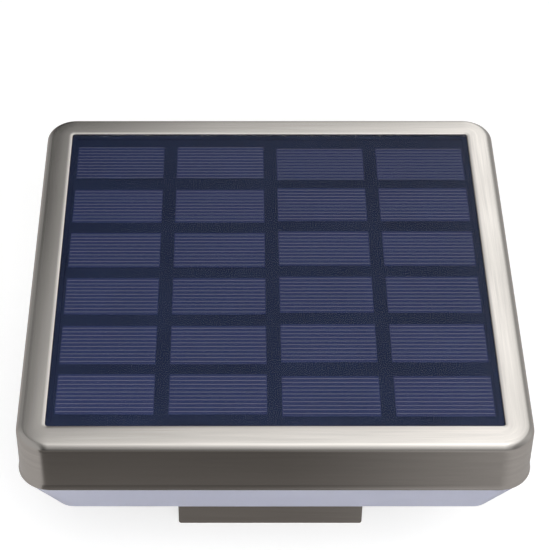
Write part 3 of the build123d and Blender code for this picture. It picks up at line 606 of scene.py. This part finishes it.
# %% moulded finishes
def moulded(name, colour, roughness, grain_size, grain_height, cloud=0.08, metallic=0.0):
    """Colour, grain and cloud for a plastic, rubber, board or plated part."""
    material, tree, shader, coordinates = new_material(name)
    place = coordinates.outputs["Object"]
    touch = place_group(tree, handling, Place=place, Patch_Size=0.03)
    pits = place_group(tree, grain, Place=place, Grain_Size=grain_size)
    shade = tint(tree, touch.outputs["Cloud"], tuple(c * (1 - cloud) for c in colour),
                 tuple(min(c * (1 + cloud), 1.0) for c in colour))
    shade = tint(tree, math(tree, "MULTIPLY", pits.outputs["Grain"], 0.25), shade,
                 tuple(c * 0.85 for c in colour))
    tree.links.new(shade, shader.inputs["Base Color"])
    rough = remap(tree, pits.outputs["Grain"], 0.0, 1.0, roughness - 0.06, roughness + 0.06)
    rough = math(tree, "ADD", rough, math(tree, "MULTIPLY", touch.outputs["Cloud"], 0.05))
    tree.links.new(rough, shader.inputs["Roughness"])
    shader.inputs["Metallic"].default_value = metallic
    bump = add_node(tree, "ShaderNodeBump", Height=pits.outputs["Grain"], Strength=0.5,
                    Distance=grain_height)
    tree.links.new(bump.outputs["Normal"], shader.inputs["Normal"])
    return material


finishes = {
    "seal_rubber": moulded("black seal rubber", (0.022, 0.022, 0.023), 0.62, 0.0004, 0.00003),
    "silicone": moulded("silicone bead", (0.55, 0.56, 0.56), 0.38, 0.0020, 0.00005),
    "foam": moulded("closed-cell foam", (0.045, 0.045, 0.048), 0.90, 0.0007, 0.00020),
    "dark_moulding": moulded("dark grey moulding", (0.045, 0.046, 0.050), 0.48, 0.0003, 0.00003),
    "white_moulding": moulded("white reflector moulding", (0.82, 0.82, 0.80), 0.32, 0.0005,
                              0.00001),
    "circuit_board": moulded("green circuit board", (0.015, 0.095, 0.035), 0.30, 0.0006, 0.00001),
    "led_white_board": moulded("white circuit board", (0.78, 0.78, 0.75), 0.40, 0.0006, 0.00001),
    "led_phosphor": moulded("diode phosphor", (0.80, 0.60, 0.10), 0.45, 0.0003, 0.00002),
    "screw_steel": moulded("screw steel", (0.56, 0.55, 0.54), 0.28, 0.0005, 0.00001,
                           metallic=1.0),
    "spring_steel": moulded("nickel-plated spring steel", (0.66, 0.64, 0.60), 0.22, 0.0006, 0.00001,
                            metallic=1.0),
    "black_plastic": moulded("black plastic", (0.014, 0.014, 0.015), 0.34, 0.0003, 0.00001),
    "coil_ferrite": moulded("wound ferrite", (0.035, 0.031, 0.030), 0.60, 0.0004, 0.00005),
    "can_aluminium": moulded("aluminium can", (0.72, 0.73, 0.74), 0.30, 0.0004, 0.00001,
                             metallic=1.0),
    "terminal_plastic": moulded("ivory plastic", (0.62, 0.58, 0.46), 0.42, 0.0004, 0.00002),
    "battery_wrap": moulded("shrink wrap", (0.020, 0.090, 0.240), 0.26, 0.0015, 0.00003),
    "lug_brass": moulded("tinned brass", (0.62, 0.50, 0.26), 0.30, 0.0004, 0.00001,
                         metallic=1.0),
    "button_plastic": moulded("black push button", (0.012, 0.012, 0.013), 0.26, 0.0004, 0.00001),
    "panel_board": moulded("navy panel board", (0.018, 0.025, 0.056), 0.60, 0.0020, 0.000002),
}
board_shader = finishes["panel_board"].node_tree.nodes["Principled BSDF"]
board_shader.inputs["Specular IOR Level"].default_value = 0.0
print("moulded finishes:", len(finishes))

# %% [markdown]
# The lamp is opal plastic with a fine frosted skin. Light spreads inside it, so it gets a little
# subsurface scattering besides its pale, slightly blue colour.

# %% frosted plastic
frosted, tree, shader, coordinates = new_material("frosted opal plastic")
touch = place_group(tree, handling, Place=coordinates.outputs["Object"], Patch_Size=0.05)
pits = place_group(tree, grain, Place=coordinates.outputs["Object"], Grain_Size=0.0004)
opal = tint(tree, touch.outputs["Cloud"], (0.60, 0.62, 0.77), (0.64, 0.66, 0.81))
tree.links.new(opal, shader.inputs["Base Color"])
set_rough(tree, shader, pits.outputs["Grain"], 0.34, 0.46)
shader.inputs["Subsurface Weight"].default_value = 0.25
shader.inputs["Subsurface Radius"].default_value = (1.0, 0.95, 0.9)
shader.inputs["Subsurface Scale"].default_value = 0.003
bump = add_node(tree, "ShaderNodeBump", Height=pits.outputs["Grain"], Strength=0.4,
                Distance=0.00001)
tree.links.new(bump.outputs["Normal"], shader.inputs["Normal"])
finishes["frosted_plastic"] = frosted
print("frosted:", frosted.name)

# %% [markdown]
# A silicon cell is dark blue with a violet cast, and each cell in a panel comes out of the coating
# bath a little different. The material finds out which cell it is on by rounding its place to
# the grid of the cells, and takes a shade for each. The clear sheet over them is a thin glossy
# laminate. Its index is lower than that of any real sheet, because the reflection in the picture
# is so faint. Part of the reason is that a real sheet is bonded to the cells and only its upper
# face reflects.

# %% solar cells, their lines and the clear sheet
cells, tree, shader, coordinates = new_material("dark blue silicon")
parts = add_node(tree, "ShaderNodeSeparateXYZ", Vector=coordinates.outputs["Object"])
column_pitch, row_pitch = float(column_at[1] - column_at[0]) * mm, float(row_at[1] - row_at[0]) * mm
row_place = math(tree, "SUBTRACT", parts.outputs["Y"], float(row_at[2] + row_at[3]) / 2 * mm)
column = math(tree, "FLOOR", math(tree, "DIVIDE", parts.outputs["X"], column_pitch))
row = math(tree, "FLOOR", math(tree, "DIVIDE", row_place, row_pitch))
which = add_node(tree, "ShaderNodeCombineXYZ", X=column, Y=row)
shade_of = add_node(tree, "ShaderNodeTexWhiteNoise", Vector=which.outputs[0])
touch = place_group(tree, handling, Place=coordinates.outputs["Object"], Patch_Size=0.02)
cell_shade = tint(tree, shade_of.outputs["Value"], (0.031, 0.042, 0.106), (0.036, 0.047, 0.116))
half_cloud = math(tree, "MULTIPLY", touch.outputs["Cloud"], 0.5)
cell_shade = tint(tree, half_cloud, cell_shade, (0.037, 0.044, 0.111))
tree.links.new(cell_shade, shader.inputs["Base Color"])
set_rough(tree, shader, touch.outputs["Cloud"], 0.42, 0.55)
shader.inputs["Specular IOR Level"].default_value = 0.0
finishes["cell_silicon"] = cells

silver, tree, shader, coordinates = new_material("printed silver lines")
touch = place_group(tree, handling, Place=coordinates.outputs["Object"], Patch_Size=0.006)
paste = tint(tree, touch.outputs["Cloud"], (0.094, 0.100, 0.135), (0.120, 0.127, 0.170))
tree.links.new(paste, shader.inputs["Base Color"])
set_rough(tree, shader, touch.outputs["Cloud"], 0.45, 0.60)

clear, tree, shader, coordinates = new_material("clear laminate")
touch = place_group(tree, handling, Place=coordinates.outputs["Object"], Patch_Size=0.03)
shader.inputs["Base Color"].default_value = (0.97, 0.98, 1.0, 1.0)
set_rough(tree, shader, touch.outputs["Cloud"], 0.06, 0.10)
shader.inputs["Transmission Weight"].default_value = 1.0
shader.inputs["IOR"].default_value = 1.12
finishes["clear_sheet"] = clear
print("panel finishes ready")

# %% [markdown]
# The leads are bundles of two wires, red and black, in one solid piece each. The
# material tells them apart by where they lie: the colour changes at the middle of the pair.

# %% leads
def lead_pair(name, axis, middle):
    """Red on one side of the pair's middle plane and black on the other."""
    material, tree, shader, coordinates = new_material(name)
    parts = add_node(tree, "ShaderNodeSeparateXYZ", Vector=coordinates.outputs["Object"])
    side = remap(tree, parts.outputs[axis], middle - 0.0001, middle + 0.0001, 0.0, 1.0)
    pits = place_group(tree, grain, Place=coordinates.outputs["Object"], Grain_Size=0.0004)
    shade = tint(tree, side, (0.35, 0.015, 0.012), (0.015, 0.015, 0.016))
    tree.links.new(shade, shader.inputs["Base Color"])
    set_rough(tree, shader, pits.outputs["Grain"], 0.34, 0.46)
    return material


lead_axis = {"panel_leads": "X", "battery_leads": "X", "led_leads": "Y", "switch_leads": "X"}
lead_finish = {}
for node, axis in lead_axis.items():
    low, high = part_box(node)
    middle = (low["XYZ".index(axis)] + high["XYZ".index(axis)]) / 2
    lead_finish[node] = lead_pair(node.replace("_", " "), axis, middle)
print("leads:", list(lead_finish))

# %% [markdown]
# Each new piece and each solid piece now gets its finish. The record names a finish for every
# part, so the list is read from it.

# %% put the finishes on
def finish_with(piece, material):
    """The material in the piece's only slot, or in every slot it has."""
    if piece.material_slots:
        for place in piece.material_slots:
            place.material = material
    else:
        piece.data.materials.append(material)


for subpart in frame["record"]["subparts"]:
    node, slot_name = subpart["node"], subpart["material_slot"]
    if node in lead_finish:
        finish_with(nodes[node], lead_finish[node])
    elif slot_name in finishes:
        finish_with(nodes[node], finishes[slot_name])
for name, piece in smooth.items():
    slot_name = copies[name][2]
    finish_with(piece, sleeve_steel if slot_name == "stainless" else finishes[slot_name])
finish_with(steel_cover, cover_steel)
finish_with(frosted_lamp, frosted)
finish_with(cell_fingers, silver)

# %% [markdown]
# The room. A pale floor could be lit until it is white, but that would also burn out the steel.
# Instead the floor adds a little light of its own where the camera or a mirror-like
# surface looks at it, and stays an ordinary floor for everything else, so it keeps the soft
# shadow. Seen from below it is clear, so that the button under the lamp can be looked at.

# %% floor
def level_square(name, height, reach=20.0):
    """A large level square at the height, for the floor and for what lies on it."""
    mesh = bpy.data.meshes.new(name)
    sides = [(-reach, -reach), (reach, -reach), (reach, reach), (-reach, reach)]
    mesh.from_pydata([(x, y, height) for x, y in sides], [], [(0, 1, 2, 3)])
    square = bpy.data.objects.new(name, mesh)
    bpy.context.scene.collection.objects.link(square)
    return square


floor = level_square("floor", -0.0002)
floor_material, tree, shader, coordinates = new_material("pale floor")
shader.inputs["Base Color"].default_value = (0.6, 0.6, 0.6, 1)
shader.inputs["Roughness"].default_value = 0.9
shader.inputs["Specular IOR Level"].default_value = 0.0
shader.inputs["Emission Color"].default_value = (1, 1, 1, 1)
path = tree.nodes.new("ShaderNodeLightPath")
seen = math(tree, "ADD", path.outputs["Is Camera Ray"], path.outputs["Is Glossy Ray"])
seen = math(tree, "ADD", seen, path.outputs["Is Transmission Ray"], clamp=True)
tree.links.new(math(tree, "MULTIPLY", seen, 0.60), shader.inputs["Emission Strength"])
facing = tree.nodes.new("ShaderNodeNewGeometry")
tree.links.new(math(tree, "SUBTRACT", 1.0, facing.outputs["Backfacing"]), shader.inputs["Alpha"])
floor.data.materials.append(floor_material)
print("floor ready")

# %% [markdown]
# The main light is one large soft box that hangs overhead, from a little in front to well behind
# and from just left of the middle far to the right, in an otherwise dim room. The rim is a blurred
# mirror of it, so its shading from grey on the left to white on the right comes from here and not
# from the metal. The box is painted on the world by direction, as one curve of brightness from the
# front to the back times another from the left to the right. Each patch of steel mirrors one known
# direction, so the levels of both curves can be read off the picture.

# %% soft tent of light
def set_stops(ramp, stops):
    """Sets the stops of a colour ramp from (position, (red, green, blue)) pairs."""
    elements = ramp.color_ramp.elements
    while len(elements) < len(stops):
        elements.new(0.5)
    for element, (position, colour) in zip(elements, stops):
        element.position = position
        element.color = (*colour, 1.0)


def level_curve(tree, value, levels):
    """Level read off a line through (place, level) points, places from -1 to 1.

    A colour ramp only holds levels up to 1, so they are divided by their peak and multiplied
    back."""
    peak = max(level for _, level in levels)
    halfway = math(tree, "MULTIPLY", math(tree, "ADD", value, 1.0), 0.5)
    ramp = add_node(tree, "ShaderNodeValToRGB", Fac=halfway)
    set_stops(ramp, [((place + 1) / 2, (level / peak,) * 3) for place, level in levels])
    return math(tree, "MULTIPLY", ramp.outputs["Color"], peak)


world = bpy.data.worlds.new("soft tent")
bpy.context.scene.world = world
world.use_nodes = True
tree = world.node_tree
background = tree.nodes["Background"]
direction = tree.nodes.new("ShaderNodeTexCoord").outputs["Generated"]
parts = add_node(tree, "ShaderNodeSeparateXYZ", Vector=direction)
over_back = level_curve(tree, parts.outputs["Y"], [
    (-1.0, 0.14), (-0.85, 0.42), (-0.56, 0.61), (-0.14, 1.0), (0.15, 1.25), (0.31, 1.16),
    (0.67, 0.80), (0.78, 0.63), (1.0, 0.28)])
side_near = level_curve(tree, parts.outputs["X"], [
    (-1.0, 0.32), (-0.45, 0.30), (-0.20, 0.18), (-0.12, 0.57), (-0.10, 0.63), (-0.082, 0.68),
    (-0.064, 0.80), (-0.02, 0.96), (0.02, 1.0), (0.06, 1.06), (0.10, 1.20), (0.13, 1.40),
    (0.19, 1.42), (0.26, 0.90), (0.40, 0.80), (0.5, 0.5), (0.6, 0.36), (1.0, 0.36)])
side_far = level_curve(tree, parts.outputs["X"], [
    (-1.0, 0.42), (-0.45, 0.36), (-0.25, 0.11), (-0.142, 0.09), (-0.09, 0.16), (-0.05, 0.44),
    (-0.02, 0.86), (0.0, 1.0), (0.03, 1.02), (0.06, 1.16), (0.10, 1.36), (0.13, 2.05),
    (0.19, 2.10), (0.26, 1.0), (0.40, 0.80), (0.5, 0.6), (0.6, 0.45), (1.0, 0.45)])
far = remap(tree, parts.outputs["Y"], 0.66, 0.77, 0.0, 1.0)
to_far = math(tree, "SUBTRACT", side_far, side_near)
over_side = math(tree, "ADD", side_near, math(tree, "MULTIPLY", far, to_far))
low_left = math(tree, "MULTIPLY", remap(tree, parts.outputs["X"], -0.46, -0.32, 1.0, 0.0, True),
                remap(tree, parts.outputs["Y"], 0.30, 0.50, 1.0, 0.0, True))
tent = math(tree, "MULTIPLY", over_back, over_side)
extra = math(tree, "MULTIPLY", math(tree, "SUBTRACT", 0.38, tent), low_left)
background.inputs["Color"].default_value = (1.0, 0.99, 0.975, 1.0)
tree.links.new(math(tree, "ADD", tent, extra), background.inputs["Strength"])
print("tent painted")


# %% [markdown]
# The room reflected in the steel is rather dim, so the plastics need fill light of their own.
# Two large soft lamps give it, one overhead and one in front. A third, smaller and close by, hangs
# before the light, because the picture shows the cells a little brighter towards the front edge.
# The lamps don't show in reflections, where a second bright panel would spoil the steel's shading.

# %% fill lamps
def fill_lamp(name, place, turn, size, power):
    """Large rectangular lamp that lights without being mirrored."""
    lamp_data = bpy.data.lights.new(name, "AREA")
    lamp_data.shape = "RECTANGLE"
    lamp_data.size, lamp_data.size_y = size
    lamp_data.energy = power
    lamp = bpy.data.objects.new(name, lamp_data)
    lamp.location = place
    lamp.rotation_euler = tuple(radians(angle) for angle in turn)
    lamp.visible_glossy = False
    bpy.context.scene.collection.objects.link(lamp)
    return lamp


fill_lamp("overhead fill", (0.3, 0.2, 2.6), (0, 0, 0), (2.4, 2.4), 3)
fill_lamp("front fill", (-0.3, -2.4, 0.7), (75, 0, 0), (2.4, 1.0), 4)
fill_lamp("near fill", (0.05, -0.42, 0.50), (45, 0, 0), (0.5, 0.3), 2.8)
print("lamps ready")

# %% [markdown]
# Photographers shape the shading of a shiny thing with cards that only the metal sees. Here
# one large card lies on the floor. It is dark in front, where the front face and the sleeve mirror
# it, and grey at the sides. The camera doesn't see it and it throws no shadow.

# %% grey card for the reflections
card = level_square("reflection_card", 0.0002)
for kind in ("camera", "diffuse", "transmission", "volume_scatter", "shadow"):
    setattr(card, "visible_" + kind, False)
card_material, tree, shader, coordinates = new_material("grey card")
shader.inputs["Base Color"].default_value = (0, 0, 0, 1)
shader.inputs["Specular IOR Level"].default_value = 0.0
shader.inputs["Emission Strength"].default_value = 1.0
parts = add_node(tree, "ShaderNodeSeparateXYZ", Vector=coordinates.outputs["Object"])
left_edge = math(tree, "SUBTRACT", math(tree, "MULTIPLY", parts.outputs["X"], 0.8746),
                 math(tree, "MULTIPLY", parts.outputs["Y"], 0.4848))
dark = remap(tree, left_edge, -0.036, -0.014, 0.0, 1.0, True)
dark = math(tree, "MULTIPLY", dark, remap(tree, parts.outputs["X"], 0.0, 0.145, 1.0, 0.0, True))
dark = math(tree, "MULTIPLY", dark, remap(tree, parts.outputs["Y"], -0.02, 0.02, 1.0, 0.0))
front_reach = 0.8
to_light = remap(tree, parts.outputs["Y"], -front_reach, 0.0, 0.0, 1.0)
tone = add_node(tree, "ShaderNodeValToRGB", Fac=to_light)
levels = [(-0.8, 0.13), (-0.6, 0.12), (-0.25, 0.085), (-0.175, 0.066), (-0.158, 0.075),
          (-0.144, 0.092), (-0.11, 0.24), (-0.085, 0.20), (-0.07, 0.13)]
warm = (1.06, 0.985, 0.93)
set_stops(tone, [(place / front_reach + 1, tuple(level * part for part in warm))
                 for place, level in levels])
shade = tint(tree, dark, (0.37, 0.355, 0.345), tone.outputs["Color"])
tree.links.new(shade, shader.inputs["Emission Color"])
card.data.materials.append(card_material)
print("card placed")
